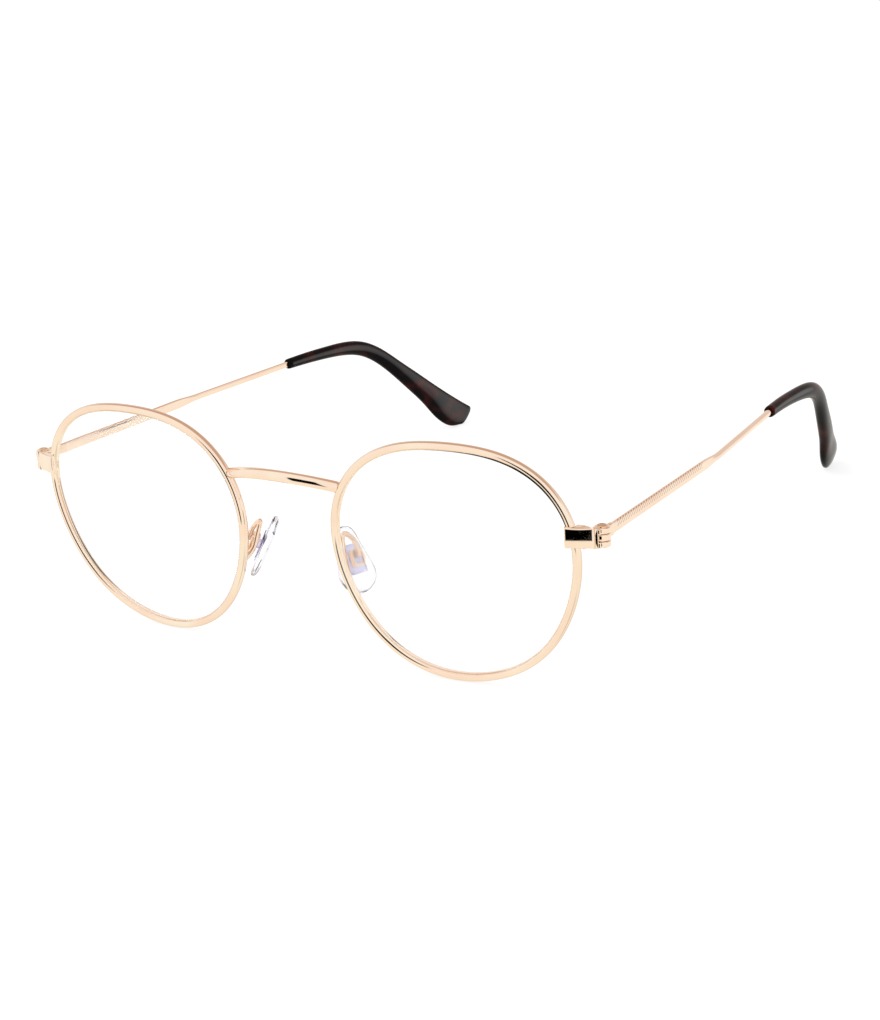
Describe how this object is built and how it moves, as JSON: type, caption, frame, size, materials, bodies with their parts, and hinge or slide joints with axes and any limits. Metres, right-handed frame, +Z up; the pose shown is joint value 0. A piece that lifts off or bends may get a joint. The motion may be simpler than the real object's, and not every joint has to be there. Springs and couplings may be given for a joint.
{
  "type": "round wire eyeglasses",
  "caption": "Round full-rim wire eyeglasses with clear lenses, folding temples with dark sleeve tips, and rocking clear nose pads.",
  "frame": {"origin": "middle of the footprint, on the surface the open glasses stand on", "axes": "+X to the wearer's left, +Y from the front towards the temple tips, +Z up, parallel to the temple hinge pins"},
  "size_m": [0.1352, 0.1563, 0.0482],
  "materials": {
    "metal": "polished champagne gold plate",
    "screw": "polished",
    "lens": "clear, anti-reflective",
    "pad": "clear soft pad",
    "insert": "clear hard plate",
    "tip": "polished dark tortoise"
  },
  "bodies": {
    "front": {"bridge": "metal", "left_eyewire": "metal", "left_lens": "lens", "left_endpiece": "metal", "left_closing_block_upper": "metal", "left_closing_block_lower": "metal", "left_closing_screw": "screw", "left_hinge_front": "metal", "left_hinge_screw": "screw", "left_pad_arm": "metal", "left_pad_box": "metal", "left_pad_screw": "screw", "right_eyewire": "metal", "right_lens": "lens", "right_endpiece": "metal", "right_closing_block_upper": "metal", "right_closing_block_lower": "metal", "right_closing_screw": "screw", "right_hinge_front": "metal", "right_hinge_screw": "screw", "right_pad_arm": "metal", "right_pad_box": "metal", "right_pad_screw": "screw"},
    "left_arm": {"left_temple": "metal", "left_temple_tip": "tip", "left_hinge_temple": "metal"},
    "left_pad": {"left_nose_pad": "pad", "left_pad_insert": "insert"},
    "right_arm": {"right_temple": "metal", "right_temple_tip": "tip", "right_hinge_temple": "metal"},
    "right_pad": {"right_nose_pad": "pad", "right_pad_insert": "insert"}
  },
  "joints": [
    {"name": "left_temple_fold", "type": "hinge", "parent": "front", "child": "left_arm", "pos_m": [0.066, -0.06875, 0.0329], "axis": [0, 0, 1], "range_deg": [0, 85]},
    {"name": "right_temple_fold", "type": "hinge", "parent": "front", "child": "right_arm", "pos_m": [-0.066, -0.06875, 0.0329], "axis": [0, 0, -1], "range_deg": [0, 68]},
    {"name": "left_pad_rock", "type": "hinge", "parent": "front", "child": "left_pad", "pos_m": [0.01215, -0.06845, 0.02087], "axis": [0.4706, 0.8814, 0.0407], "range_deg": [-6, 10]},
    {"name": "right_pad_rock", "type": "hinge", "parent": "front", "child": "right_pad", "pos_m": [-0.01215, -0.06845, 0.02087], "axis": [0.4706, -0.8814, -0.0407], "range_deg": [-6, 10]}
  ]
}
